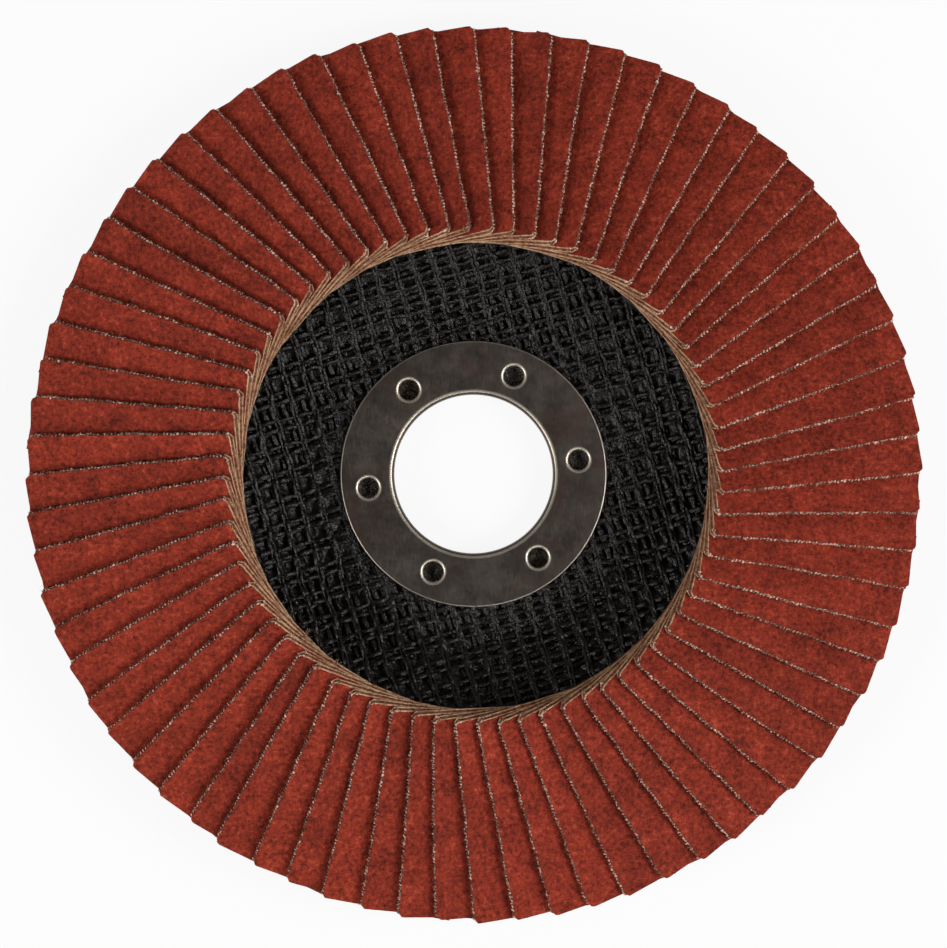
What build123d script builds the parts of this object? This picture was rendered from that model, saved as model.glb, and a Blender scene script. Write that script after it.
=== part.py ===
from build123d import *
import math
import os

os.makedirs("parts", exist_ok=True)

# A flap disc: woven glass and resin backing plate, pressed steel centre ring, adhesive bed
# and a ring of overlapping abrasive flaps. Millimetres and degrees.
# Origin: the centre of the hub's back face. +Z runs along the bore, towards the abrasive side.

# Disc and bore
disc_radius = 62.5              # to the flaps' outer corners
bore_radius = 11.115

# Flaps
flap_count = 72
flaps_per_node = 2
flap_width = 18.0               # across a flap, seen from the front
flap_thickness = 0.86
flap_inner_radius = 34.1        # to the flaps' free inner corners
inner_end_dip = 1.75            # from there in to the circle that a flap's straight inner end touches
free_edge_offset = 5.5          # from the bore's axis to the line of a flap's free edge
face_angle = 14.0               # fall of the abrasive face towards the rim
rise_ratio = 1.3                # step from flap to flap over their thickness: they lie aslant
outer_corner_round = 0.65
inner_corner_round = 0.3
first_flap_angle = 0.3
foot_gap = 0.05                 # between the flaps' feet and the adhesive bed

# Backing plate
hub_thickness = 3.0
hub_flat_radius = 23.6          # where the hub's face turns up into the wall
wall_rise = 3.6                 # from the hub's face up to the crest
crest_radius = 32.3
land_radius = 57.5
land_thickness = 2.0
rim_bevel = 0.4
collar_seat_bevel = 0.35        # at the front of the plate's hole, under the ring's bend

# Woven ridges on the plate's face
weave_angle = 16.0
warp_pitch = 2.7
warp_width = 0.8
weft_pitch = 3.5
weft_width = 1.7                # of two threads side by side
ridge_height = 0.3
pressed_band = 1.6              # up the wall from the hub, where the press flattened the ridges
ridge_margin = 0.3              # from the crest down to the ridges' ends

# Centre ring
ring_radius = 18.6
ring_sheet = 0.7
ring_fit = 0.05                 # round the ring's collar and sockets
front_lip_round = 0.62
ring_rim_round = 0.2
flare_height = 0.6              # where the collar starts to open out at the back
flare_angle = 45
flare_recess = 0.1              # from the hub's back face up to the flare
socket_count = 6
socket_circle_radius = 14.8
socket_radius = 1.4
socket_wall = 0.35
socket_depth = 1.5              # below the plate's face
socket_lip_round = 0.4
first_socket_angle = 7.6

# Adhesive bed
bed_height = 0.7
bed_inner_radius = 32.6
bed_rim_margin = 1.0            # from the land's rim in to the bed's edge

# What follows from the sizes above
pitch_angle = 360 / flap_count
rise_per_radian = flap_thickness * rise_ratio / math.radians(pitch_angle)
face_slope = math.tan(math.radians(face_angle))
ring_front = hub_thickness + ring_sheet
flare_bend = ring_sheet * math.tan(math.radians(flare_angle / 2))
crest_height = hub_thickness + wall_rise
wall_slope = wall_rise / (crest_radius - hub_flat_radius)


def top_height(reach, side):
    """Height of a flap's top over a point of the plan, with its free outer corner at height 0."""
    radius = math.hypot(reach, side)
    turn_from_free_edge = math.atan2(side, reach) + math.asin(free_edge_offset / radius)
    return (disc_radius - radius) * face_slope - rise_per_radian * turn_from_free_edge


def flap_top_corners():
    """Top corners of a flap along X: the free one and the foot's, at its inner and its outer end."""
    foot_side = flap_width - free_edge_offset
    inner_reach = math.sqrt(flap_inner_radius**2 - free_edge_offset**2)
    outer_reach = math.sqrt(disc_radius**2 - free_edge_offset**2)
    # The inner end lies on the line from its free corner that touches the end circle.
    end_radius = flap_inner_radius - inner_end_dip
    touch_angle = math.acos(end_radius / flap_inner_radius) - math.asin(free_edge_offset / flap_inner_radius)
    inner_foot_reach = (end_radius - foot_side * math.sin(touch_angle)) / math.cos(touch_angle)
    # The outer end is cut square to the tilted flap, so it leans in towards the bore as it drops.
    outer_foot_reach = outer_reach + top_height(outer_reach, foot_side) * face_slope
    corners = []
    for free_reach, foot_reach in ((inner_reach, inner_foot_reach), (outer_reach, outer_foot_reach)):
        free_corner = Vector(free_reach, -free_edge_offset, top_height(free_reach, -free_edge_offset))
        foot_corner = Vector(foot_reach, foot_side, top_height(foot_reach, foot_side))
        corners.append((free_corner, foot_corner))
    return corners


def flap_end_corners():
    """The four corners of a flap's inner end and of its outer end, at their own height."""
    (inner_free, inner_foot), (outer_free, outer_foot) = flap_top_corners()
    along = outer_free - inner_free + outer_foot - inner_foot
    ends = []
    for free_corner, foot_corner in ((inner_free, inner_foot), (outer_free, outer_foot)):
        down = (foot_corner - free_corner).cross(along).normalized() * flap_thickness
        ends.append((free_corner, foot_corner, foot_corner + down, free_corner + down))
    return ends


def radius_of(point):
    return math.hypot(point.X, point.Y)


inner_end, outer_end = flap_end_corners()
inner_sole = inner_end[2]
outer_sole = outer_end[2]

# The land falls outwards at the same slope as the line of the flaps' feet.
land_slope = (inner_sole.Z - outer_sole.Z) / (radius_of(outer_sole) - radius_of(inner_sole))


def land_height(radius):
    """Height of the land's front face at a radius."""
    return crest_height - (radius - crest_radius) * land_slope


flap_lift = land_height(radius_of(inner_sole)) + bed_height + foot_gap - inner_sole.Z


def revolved(points, rounds=None):
    """A solid of revolution about Z from (radius, height) points, with a rounding for each corner."""
    if rounds:
        outline = FilletPolyline(*points, radius=rounds, close=True)
    else:
        outline = Polyline(*points, close=True)
    return revolve(Plane.XZ * make_face(outline), Axis.Z)


def make_flap():
    """One flap along X, its ends flat and its faces slightly twisted between them."""
    sections = []
    for end in (inner_end, outer_end):
        sections.append(make_face(Polyline(*end, close=True)))
    flap = loft(sections=sections, ruled=True)
    for corner, rounding in ((inner_end[0], inner_corner_round), (outer_end[0], outer_corner_round)):
        upright = flap.edges().filter_by(lambda edge: edge.length < 2 * flap_thickness)
        nearest = upright.sort_by_distance(corner)[0]
        flap = fillet(nearest, rounding)
    return Pos(0, 0, flap_lift) * flap


def wall_height(radius):
    """Height of the wall's front face between the hub and the crest."""
    return crest_height - (crest_radius - radius) * wall_slope


def make_plate_blank():
    """The moulded plate, without its ridges."""
    hole_radius = bore_radius + ring_sheet + ring_fit
    flare_start = flare_height + flare_bend + ring_fit
    rim_front = land_height(land_radius)
    rim_back = rim_front - land_thickness
    rim_inset = rim_bevel * land_slope
    crest_back = crest_height - land_thickness
    back_foot_radius = crest_radius - crest_back / wall_slope
    return revolved([
        (hole_radius + collar_seat_bevel, hub_thickness),
        (hub_flat_radius, hub_thickness),
        (crest_radius, crest_height),
        (land_radius - rim_bevel, rim_front + rim_inset),
        (land_radius, rim_front - rim_bevel),
        (land_radius, rim_back + rim_bevel),
        (land_radius - rim_bevel, rim_back + rim_inset),
        (crest_radius, crest_back),
        (back_foot_radius, 0),
        (hole_radius + flare_start, 0),
        (hole_radius, flare_start),
        (hole_radius, hub_thickness - collar_seat_bevel),
    ])


def thread_strips(width, pitch, turn):
    """Flat strips where one set of threads runs."""
    half_count = int(crest_radius / pitch)
    strips = []
    for index in range(-half_count, half_count + 1):
        strips.append(Rot(0, 0, turn) * Pos(0, index * pitch, 0) * Rectangle(2 * crest_radius, width))
    return strips


def make_ridges():
    """The woven ridges that stand on the plate's wall."""
    inner = hub_flat_radius + pressed_band
    outer = crest_radius - ridge_margin
    band = revolved([
        (inner, wall_height(inner) - ridge_height),
        (outer, wall_height(outer) - ridge_height),
        (outer, wall_height(outer) + ridge_height),
        (inner, wall_height(inner) + ridge_height),
    ])
    warps = thread_strips(warp_width, warp_pitch, weave_angle + 90)
    wefts = thread_strips(weft_width, weft_pitch, weave_angle)
    weave = Sketch() + warps + wefts
    return band & extrude(weave, 2 * crest_height)


def make_pocket():
    """What a socket of the ring presses into the plate."""
    radius = socket_radius + socket_wall + ring_fit
    depth = socket_depth + ring_fit
    return Pos(0, 0, hub_thickness - depth / 2) * Cylinder(radius, depth)


def on_socket_circle(shape):
    """Copies of a shape at the sockets' places."""
    copies = []
    for index in range(socket_count):
        angle = first_socket_angle + index * 360 / socket_count
        copies.append(Rot(0, 0, angle) * Pos(socket_circle_radius, 0, 0) * shape)
    return copies


def make_backing_plate():
    """The plate with its ridges and the pockets for the ring's sockets."""
    plate = make_plate_blank()
    for pocket in on_socket_circle(make_pocket()):
        plate -= pocket
    return plate + make_ridges()


def make_centre_ring():
    """The pressed ring: a flange, a collar that flares out at the back, and six sockets."""
    outer_wall = bore_radius + ring_sheet
    points = [
        (bore_radius, flare_height),
        (bore_radius, ring_front),
        (ring_radius, ring_front),
        (ring_radius, hub_thickness),
        (outer_wall, hub_thickness),
        (outer_wall, flare_height + flare_bend),
        (outer_wall + flare_height + flare_bend - flare_recess, flare_recess),
        (bore_radius + flare_height - flare_recess, flare_recess),
    ]
    ring = revolved(points, [0, front_lip_round, ring_rim_round, 0, 0, 0, 0, 0])
    sleeve_height = socket_depth + ring_sheet / 2
    sleeve_centre = hub_thickness - socket_depth + sleeve_height / 2
    sleeve = Pos(0, 0, sleeve_centre) * Cylinder(socket_radius + socket_wall, sleeve_height)
    for copy in on_socket_circle(sleeve):
        ring += copy
    hole = Pos(0, 0, hub_thickness) * Cylinder(socket_radius, 4 * socket_depth)
    for copy in on_socket_circle(hole):
        ring -= copy
    top_edges = ring.edges().filter_by(GeomType.CIRCLE).group_by(Axis.Z)[-1]
    lips = top_edges.filter_by(lambda edge: abs(edge.radius - socket_radius) < ring_fit)
    return fillet(lips, socket_lip_round)


def make_adhesive_bed():
    """The cured resin on the land, which holds the flaps' feet."""
    rim = land_radius - bed_rim_margin
    return revolved([
        (bed_inner_radius, land_height(bed_inner_radius)),
        (rim, land_height(rim)),
        (rim, land_height(rim) + bed_height),
        (bed_inner_radius, land_height(bed_inner_radius) + bed_height),
    ])


export_step(make_backing_plate(), "parts/backing_plate.step")
export_step(make_centre_ring(), "parts/centre_ring.step")
export_step(make_adhesive_bed(), "parts/adhesive_bed.step")

flap = make_flap()
for node_index in range(flap_count // flaps_per_node):
    group = []
    for place in range(flaps_per_node):
        number = node_index * flaps_per_node + place
        group.append(Rot(0, 0, first_flap_angle + number * pitch_angle) * flap)
    export_step(Compound(children=group), f"parts/flap_pair_{node_index + 1:02d}.step")
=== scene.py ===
"""The looks of an abrasive flap disc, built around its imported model.

Lengths are metres and angles are radians, unless a name says otherwise.
"""
import logging
import math
from collections.abc import Callable
from dataclasses import dataclass, field
from enum import Enum, IntEnum

import bmesh
import bpy
import numpy as np
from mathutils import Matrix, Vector


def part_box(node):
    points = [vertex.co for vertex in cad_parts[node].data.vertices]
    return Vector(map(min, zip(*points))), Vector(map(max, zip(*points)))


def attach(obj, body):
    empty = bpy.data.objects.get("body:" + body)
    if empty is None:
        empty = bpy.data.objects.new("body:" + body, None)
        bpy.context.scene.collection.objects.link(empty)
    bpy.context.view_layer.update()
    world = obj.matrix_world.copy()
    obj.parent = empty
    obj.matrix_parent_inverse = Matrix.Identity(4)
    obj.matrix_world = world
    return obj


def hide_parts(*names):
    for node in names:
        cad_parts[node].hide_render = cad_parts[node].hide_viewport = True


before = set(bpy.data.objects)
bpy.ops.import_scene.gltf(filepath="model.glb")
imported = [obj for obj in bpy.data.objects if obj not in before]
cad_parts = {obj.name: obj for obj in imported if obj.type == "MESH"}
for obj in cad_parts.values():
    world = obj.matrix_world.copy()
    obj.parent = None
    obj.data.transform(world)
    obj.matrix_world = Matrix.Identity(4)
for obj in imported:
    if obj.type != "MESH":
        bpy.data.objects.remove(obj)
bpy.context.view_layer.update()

BODY = "root"
MM = 0.001
FULL_TURN = 2 * math.pi
WHITE = (1, 1, 1, 1)
EVEN = (1, 1, 1)

Colour = tuple[float, float, float, float]
Span = tuple[float, float]
log = logging.getLogger("flap_disc")


def tint(red: int, green: int, blue: int) -> Colour:
    """Linear colour of a screen colour.

    Args:
        red, green, blue: Channels of the screen colour, from 0 to 255.

    Returns:
        The linear colour, opaque.
    """
    linear = []
    for channel in (red, green, blue):
        share = channel / 255
        linear.append(share / 12.92 if share <= 0.04045 else ((share + 0.055) / 1.055) ** 2.4)
    return (*linear, 1.0)


class Slot(Enum):
    """Names of the record's material slots for the pieces."""

    CLOTH = "abrasive_cloth"
    LAMINATE = "woven_laminate"
    STEEL = "pressed_steel"


class Face(IntEnum):
    """What a face of a flap shows, as the place of its material."""

    GRAIN = 0
    CUT = 1
    BACK = 2


def operator(operation: str, flipped: bool = False) -> Callable[["Number", "Number | float"], "Number"]:
    """A method of numbers that adds a Math node.

    Args:
        operation: The node's operation.
        flipped: True where the number whose method it is comes last.

    Returns:
        The method.
    """
    def apply(number: "Number", other: "Number | float") -> "Number":
        """The operation's result on two numbers."""
        return number.math(operation, other, flipped=flipped)

    return apply


class Number:
    """A number socket of a node tree. Operators on it add Math nodes."""

    def __init__(self, nodes: "NodeMaker", socket: bpy.types.NodeSocket) -> None:
        """Wraps a socket of the tree that nodes adds to."""
        self.nodes = nodes
        self.socket = socket

    def math(self, operation: str, *others: "Number | float", flipped: bool = False) -> "Number":
        """Adds one Math node.

        Args:
            operation: The node's operation.
            others: The other operands.
            flipped: True where this number is the last operand.

        Returns:
            The node's result.
        """
        terms = [self, *others]
        if flipped:
            terms.reverse()
        return self.nodes.number(
            self.nodes.add("ShaderNodeMath", {"operation": operation}, dict(enumerate(terms)))
        )

    __add__ = __radd__ = operator("ADD")
    __sub__ = operator("SUBTRACT")
    __rsub__ = operator("SUBTRACT", flipped=True)
    __mul__ = __rmul__ = operator("MULTIPLY")
    __truediv__ = operator("DIVIDE")
    __pow__ = operator("POWER")
    above = operator("GREATER_THAN")
    at_most = operator("MINIMUM")
    at_least = operator("MAXIMUM")

    def cosine(self) -> "Number":
        """Cosine of this number of radians."""
        return self.math("COSINE")

    def ramp(self, start: float, end: float) -> "Number":
        """Runs smoothly from 0 to 1 as this number goes from start to end."""
        inputs = {"Value": self, "From Min": start, "From Max": end}
        return self.nodes.number(
            self.nodes.add("ShaderNodeMapRange", {"interpolation_type": "SMOOTHSTEP"}, inputs)
        )


class NodeMaker:
    """Adds nodes to a shader tree or to a geometry tree."""

    def __init__(self, tree: bpy.types.NodeTree) -> None:
        """Takes the tree that the nodes go into."""
        self.tree = tree

    def add(self, kind: str, settings: dict | None = None, inputs: dict | None = None) -> bpy.types.Node:
        """Adds one node.

        Args:
            kind: The node's type.
            settings: Its settings, which are set first.
            inputs: A value, a socket, a node or a number for each named or numbered socket.

        Returns:
            The new node.
        """
        made = self.tree.nodes.new(kind)
        for name, value in (settings or {}).items():
            setattr(made, name, value)
        for key, value in (inputs or {}).items():
            if isinstance(value, Number):
                value = value.socket
            elif isinstance(value, bpy.types.Node):
                value = value.outputs[0]
            if isinstance(value, bpy.types.NodeSocket):
                self.tree.links.new(value, made.inputs[key])
            else:
                made.inputs[key].default_value = value
        return made

    def number(self, node: bpy.types.Node, output: int | str = 0) -> Number:
        """One output of a node as a number."""
        return Number(self, node.outputs[output])

    def mix(self, factor: Number | float, first: object, second: object) -> bpy.types.NodeSocket:
        """The first colour where the factor is 0, and the second where it is 1."""
        return self.add("ShaderNodeMix", {"data_type": "RGBA"}, {0: factor, 6: first, 7: second}).outputs[2]

    def scaled(self, value: object, factor: Number | float) -> bpy.types.NodeSocket:
        """A colour or a vector times a number."""
        return self.vector_math("SCALE", {0: value, "Scale": factor})

    def vector_math(self, operation: str, inputs: dict) -> bpy.types.NodeSocket:
        """The vector that an operation on vectors gives."""
        return self.add("ShaderNodeVectorMath", {"operation": operation}, inputs).outputs[0]

    def vector(self, *coordinates: Number | float) -> bpy.types.NodeSocket:
        """A vector of up to three coordinates. The rest are 0."""
        return self.add("ShaderNodeCombineXYZ", {}, dict(enumerate(coordinates))).outputs[0]

    def split(self, vector: object) -> list[Number]:
        """The three coordinates of a vector."""
        made = self.add("ShaderNodeSeparateXYZ", {}, {0: vector})
        return [self.number(made, index) for index in range(3)]

    def noise(
        self, place: object, size: float, detail: float = 2.0, roughness: float = 0.5, seed: object = None
    ) -> bpy.types.Node:
        """Adds noise.

        Args:
            place: The coordinates that it reads.
            size: Width of its spots, roughly.
            detail, roughness: How much finer noise it holds, and how strong that is.
            seed: A fourth coordinate, if any.

        Returns:
            The new node.
        """
        inputs = {"Vector": place, "Scale": 1 / size, "Detail": detail, "Roughness": roughness}
        if seed is None:
            return self.add("ShaderNodeTexNoise", {"noise_dimensions": "3D"}, inputs)
        return self.add("ShaderNodeTexNoise", {"noise_dimensions": "4D"}, {**inputs, "W": seed})


class Finish:
    """A material that is built from nodes."""

    def __init__(self, name: str) -> None:
        """Starts the material under a name."""
        self.material = bpy.data.materials.new(name)
        self.material.use_nodes = True
        self.material.node_tree.nodes.clear()
        self.nodes = NodeMaker(self.material.node_tree)

    def place(self, turn: float = 0.0, stretch: tuple[float, float, float] = EVEN) -> bpy.types.NodeSocket:
        """Object coordinates in metres.

        Args:
            turn: Turns the pattern about Z.
            stretch: Scale of the coordinates along the turned axes.

        Returns:
            The socket of the coordinates.
        """
        source = self.nodes.add("ShaderNodeTexCoord").outputs["Object"]
        if turn:
            inputs = {"Vector": source, "Rotation": (0, 0, turn)}
            source = self.nodes.add("ShaderNodeMapping", {"vector_type": "TEXTURE"}, inputs).outputs[0]
        if stretch != EVEN:
            source = self.nodes.vector_math("MULTIPLY", {0: source, 1: stretch})
        return source

    def noise(self, place: object, size: float, detail: float = 2.0, roughness: float = 0.5) -> Number:
        """Noise whose spots are about one size across."""
        return self.nodes.number(self.nodes.noise(place, size, detail, roughness))

    def attribute(self, name: str) -> Number:
        """A number that the mesh carries."""
        return self.nodes.number(self.nodes.add("ShaderNodeAttribute", {"attribute_name": name}), "Fac")

    def bump(self, height: Number, distance: float) -> bpy.types.Node:
        """The normal that a height gives, with its full height as a distance."""
        return self.nodes.add("ShaderNodeBump", {}, {"Height": height, "Distance": distance})

    def surface(self, **inputs: object) -> bpy.types.Material:
        """Ends the material in a Principled surface.

        Args:
            inputs: The surface's sockets, with an underscore for each space.

        Returns:
            The finished material.
        """
        named = {key.replace("_", " "): value for key, value in inputs.items()}
        return self.ended(self.nodes.add("ShaderNodeBsdfPrincipled", {}, named))

    def ended(self, surface: bpy.types.Node) -> bpy.types.Material:
        """The material, once a surface is joined to its output."""
        self.nodes.add("ShaderNodeOutputMaterial", {}, {"Surface": surface})
        return self.material


@dataclass(frozen=True)
class GrainCoat:
    """The abrasive face of a flap: brown grain in red resin."""

    resin: Colour = tint(155, 54, 35)
    pit: Colour = tint(74, 23, 15)
    # Colour of the painted highlight on the grain's high points.
    crest_highlight: Colour = tint(190, 92, 68)
    grain_size: float = 0.6 * MM
    fine_size: float = 0.26 * MM
    mottle_size: float = 1.3 * MM
    blotch_size: float = 4.0 * MM
    relief: float = 0.22 * MM

    def make(self) -> bpy.types.Material:
        """Builds the material."""
        finish = Finish("grain_coat")
        place = finish.place()
        coarse = finish.noise(place, self.grain_size, 2, 0.6)
        fine = finish.noise(place, self.fine_size, 2, 0.6)
        mottle = finish.noise(place, self.mottle_size, 2, 0.6)
        broad = finish.noise(place, self.blotch_size, 2)
        height = coarse * 0.6 + fine * 0.4
        mottled_height = height + (mottle - 0.5) * 0.25 + (broad - 0.5) * 0.18
        pits = 1 - mottled_height.ramp(0.24, 0.66)
        # Lighter colour on the grain's high points: painted highlight.
        crest_highlights = mottled_height.ramp(0.54, 0.8) * 0.7
        colour = finish.nodes.mix(pits, self.resin, self.pit)
        colour = finish.nodes.mix(crest_highlights, colour, self.crest_highlight)
        tone = finish.attribute("tone") * (0.8 + broad * 0.4)
        return finish.surface(
            Base_Color=finish.nodes.scaled(colour, tone),
            Roughness=0.8 - crest_highlights * 0.3,
            Specular_IOR_Level=0.15,
            Normal=finish.bump(height, self.relief),
        )


@dataclass(frozen=True)
class CutCloth:
    """The cut edge of the cloth under the grain."""

    thread: Colour = tint(146, 98, 72)
    stained: Colour = tint(92, 46, 33)
    yarn_size: float = 0.5 * MM
    relief: float = 0.1 * MM

    def make(self) -> bpy.types.Material:
        """Builds the material."""
        finish = Finish("cut_cloth")
        place = finish.place()
        spots = finish.noise(place, self.yarn_size, 3, 0.7)
        fibres = finish.noise(place, self.yarn_size / 5, 2)
        stain = (spots * 0.75 + fibres * 0.25).ramp(0.56, 0.44)
        return finish.surface(
            Base_Color=finish.nodes.mix(stain, self.thread, self.stained),
            Roughness=0.85,
            Specular_IOR_Level=0.2,
            Normal=finish.bump(spots + fibres * 0.5, self.relief),
        )


@dataclass(frozen=True)
class BackCloth:
    """The back of a flap: sized cloth whose weave shows."""

    cloth: Colour = tint(150, 104, 74)
    groove: Colour = tint(88, 52, 36)
    thread_pitch: float = 0.55 * MM
    relief: float = 0.09 * MM

    def make(self) -> bpy.types.Material:
        """Builds the material."""
        finish = Finish("back_cloth")
        place = finish.nodes.split(finish.nodes.add("ShaderNodeUVMap", {"uv_map": "cloth"}))
        turns = FULL_TURN / self.thread_pitch
        weave = (place[0] * turns).cosine() * (place[1] * turns).cosine()
        height = weave * 0.5 + finish.noise(finish.place(), 2 * self.thread_pitch, 3) * 0.8
        return finish.surface(
            Base_Color=finish.nodes.mix(height.ramp(-0.1, 0.8), self.groove, self.cloth),
            Roughness=0.8,
            Specular_IOR_Level=0.25,
            Normal=finish.bump(height, self.relief),
        )


@dataclass(frozen=True)
class LooseYarn:
    """Bare cotton yarn at the cut ends of the cloth."""

    name: str = "loose_yarn"
    pale: Colour = tint(208, 170, 134)
    dull: Colour = tint(156, 114, 84)
    # Colour of the dark specks: partly stained yarn, partly painted shade between the yarns.
    dark: Colour = tint(84, 48, 34)
    spot_size: float = 0.5 * MM
    speck_share: float = 0.3
    relief: float = 0.05 * MM

    def make(self) -> bpy.types.Material:
        """Builds the material."""
        finish = Finish(self.name)
        place = finish.place()
        spots = finish.noise(place, self.spot_size, 3, 0.6)
        broad = finish.noise(place, 6 * self.spot_size, 1)
        shade = (spots * 0.6 + broad * 0.4).ramp(0.38, 0.6)
        # Dark specks: partly stained yarn, partly painted shade in the gaps between the yarns.
        specks = finish.noise(place, 0.6 * self.spot_size, 1)
        specks = specks.ramp(self.speck_share + 0.1, self.speck_share)
        colour = finish.nodes.mix(shade, self.dull, self.pale)
        return finish.surface(
            Base_Color=finish.nodes.mix(specks * 0.85, colour, self.dark),
            Roughness=0.8,
            Specular_IOR_Level=0.25,
            Normal=finish.bump(spots, self.relief),
        )


@dataclass(frozen=True)
class GlassLaminate:
    """Black resin over glass yarn, with the fibres' fine lines along one direction."""

    name: str
    fibre_angle: float
    resin: Colour = tint(13, 8, 6)
    # Grey of dust, and of painted sheen on the raised lumps and fibres.
    dust_and_sheen: Colour = tint(42, 31, 26)
    fibre_size: float = 0.13 * MM
    fibre_length: float = 7.0
    lump_size: float = 0.9 * MM
    chip_size: float = 0.6 * MM
    blotch_size: float = 7 * MM
    relief: float = 0.15 * MM
    roughness: float = 0.13
    pressed_weave: Span | None = None

    def make(self) -> bpy.types.Material:
        """Builds the material."""
        finish = Finish(self.name)
        along = finish.place(self.fibre_angle, (1 / self.fibre_length, 1, 1))
        fibres = finish.noise(along, self.fibre_size, 2)
        place = finish.place()
        lumps = finish.noise(place, self.lump_size, 3, 0.6)
        chips = finish.noise(place, self.chip_size, 2, 0.6)
        broad = finish.noise(place, self.blotch_size, 2)
        # Lighter grey on the raised lumps and fibres: partly dust, partly painted sheen.
        dust_and_sheen_share = (fibres * 0.6 + lumps * 0.5).ramp(0.52, 0.78) * broad.ramp(0.3, 0.7)
        height = fibres * 0.6 + lumps * 1.8 + chips * 0.7
        if self.pressed_weave:
            threads = self.threads(finish)
            height = height + threads * 1.6
            # The tops of the pressed threads get more of it: painted highlight.
            dust_and_sheen_share = (dust_and_sheen_share + threads.ramp(0.2, 1.0) * 0.5).at_most(1.0)
        return finish.surface(
            Base_Color=finish.nodes.mix(dust_and_sheen_share, self.resin, self.dust_and_sheen),
            Roughness=self.roughness + lumps * 0.25,
            Specular_IOR_Level=0.4,
            Normal=finish.bump(height, self.relief),
        )

    def threads(self, finish: Finish) -> Number:
        """Height of the threads that show through the pressed resin, from -1 to 1."""
        place = finish.nodes.split(finish.place(self.fibre_angle))
        rows = []
        for across, pitch in zip(place, self.pressed_weave):
            rows.append((across * (FULL_TURN / pitch)).cosine())
        return rows[0].at_least(rows[1])


@dataclass(frozen=True)
class SocketCircle:
    """Where the ring's sockets stand."""

    count: int = 6
    radius: float = 14.8 * MM
    first: float = math.radians(7.6)


@dataclass(frozen=True)
class BrushedSteel:
    """Dark pressed steel with a fine straight grain, lighter at its rim and lips: partly worn bare, partly
    a painted highlight.
    """

    steel: Colour = tint(188, 175, 162)
    shadow: Colour = tint(158, 148, 138)
    warm: Colour = tint(176, 148, 136)
    # Colour of the edges: partly bare worn steel, partly painted highlight.
    bare: Colour = tint(212, 203, 188)
    # Darker colour of the bore wall: painted shade.
    dull: Colour = tint(96, 84, 74)
    grain_size: float = 0.12 * MM
    grain_length: float = 14.0
    cloud_size: float = 4 * MM
    stain_size: float = 7 * MM
    stain_turn: float = 0.4
    speck_size: float = 0.5 * MM
    relief: float = 0.006 * MM
    rim: Span = (18.38 * MM, 18.46 * MM)
    lip: Span = (11.9 * MM, 11.72 * MM)
    # Where the painted shade on the bore wall begins and where it is full.
    bore_wall_shade: Span = (11.5 * MM, 11.4 * MM)
    socket_lip: Span = (1.9 * MM, 1.8 * MM)
    sockets: SocketCircle = SocketCircle()

    def make(self) -> bpy.types.Material:
        """Builds the material."""
        finish = Finish("brushed_steel")
        along = finish.place(math.pi / 2, (1 / self.grain_length, 1, 1))
        lines = finish.noise(along, self.grain_size, 2)
        place = finish.place()
        cloud = finish.noise(place, self.cloud_size, 4, 0.6)
        stain = finish.noise(finish.place(self.stain_turn), self.stain_size, 4, 0.6)
        speck = finish.noise(place, self.speck_size, 2)
        shade = (lines * 0.3 + cloud * 0.7).ramp(0.36, 0.64)
        colour = finish.nodes.mix(shade, self.shadow, self.steel)
        colour = finish.nodes.mix(stain.ramp(0.48, 0.66) * 0.8, colour, self.warm)
        side, forth, _ = finish.nodes.split(place)
        radius = (side * side + forth * forth) ** 0.5
        # Lighter at the rim, the bore's lip and the sockets' lips: partly wear, partly painted highlight.
        edge_wear_and_highlight = radius.ramp(*self.rim).at_least(radius.ramp(*self.lip))
        edge_wear_and_highlight = edge_wear_and_highlight.at_least(self.from_socket(side, forth, radius).ramp(*self.socket_lip))
        colour = finish.nodes.mix(edge_wear_and_highlight, colour, self.bare)
        return finish.surface(
            # Darker inside the bore: painted shade on the bore wall.
            Base_Color=finish.nodes.mix(radius.ramp(*self.bore_wall_shade), colour, self.dull),
            Metallic=1.0,
            Roughness=0.2 + cloud * 0.1 + speck * 0.06 + lines * 0.05 + edge_wear_and_highlight * 0.12,
            Normal=finish.bump(lines + cloud * 2, self.relief),
        )

    def from_socket(self, side: Number, forth: Number, radius: Number) -> Number:
        """Distance in the plan from the middle of the nearest socket.

        Args:
            side, forth: The place along X and along Y.
            radius: Its distance from the bore's axis.

        Returns:
            The distance.
        """
        circle = self.sockets
        half_step = math.pi / circle.count
        turned = (forth.math("ARCTAN2", side) - circle.first).math("WRAP", half_step, -half_step)
        squared = radius * radius + circle.radius**2 - radius * turned.cosine() * (2 * circle.radius)
        return squared.at_least(0.0) ** 0.5


@dataclass(frozen=True)
class BedResin:
    """Cured adhesive under the flaps."""

    deep: Colour = tint(66, 36, 24)
    pale: Colour = tint(128, 84, 56)
    lump_size: float = 1.2 * MM
    relief: float = 0.2 * MM

    def make(self) -> bpy.types.Material:
        """Builds the material."""
        finish = Finish("bed_resin")
        lumps = finish.noise(finish.place(), self.lump_size, 4, 0.6)
        return finish.surface(
            Base_Color=finish.nodes.mix(lumps.ramp(0.35, 0.65), self.deep, self.pale),
            Roughness=0.45,
            Normal=finish.bump(lumps, self.relief),
        )


def mesh_of(name: str, points: np.ndarray, faces: list, edges: list | None = None) -> bpy.types.Mesh:
    """A mesh from its points and faces, or from its points and edges."""
    made = bpy.data.meshes.new(name)
    made.from_pydata(points.tolist(), edges or [], faces)
    return made


def smoothed(mesh: bpy.types.Mesh, sharp_angle: float) -> bpy.types.Mesh:
    """The mesh shaded smooth, with its edges past an angle kept sharp."""
    mesh.polygons.foreach_set("use_smooth", [True] * len(mesh.polygons))
    mesh.set_sharp_from_angle(angle=sharp_angle)
    return mesh


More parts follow.
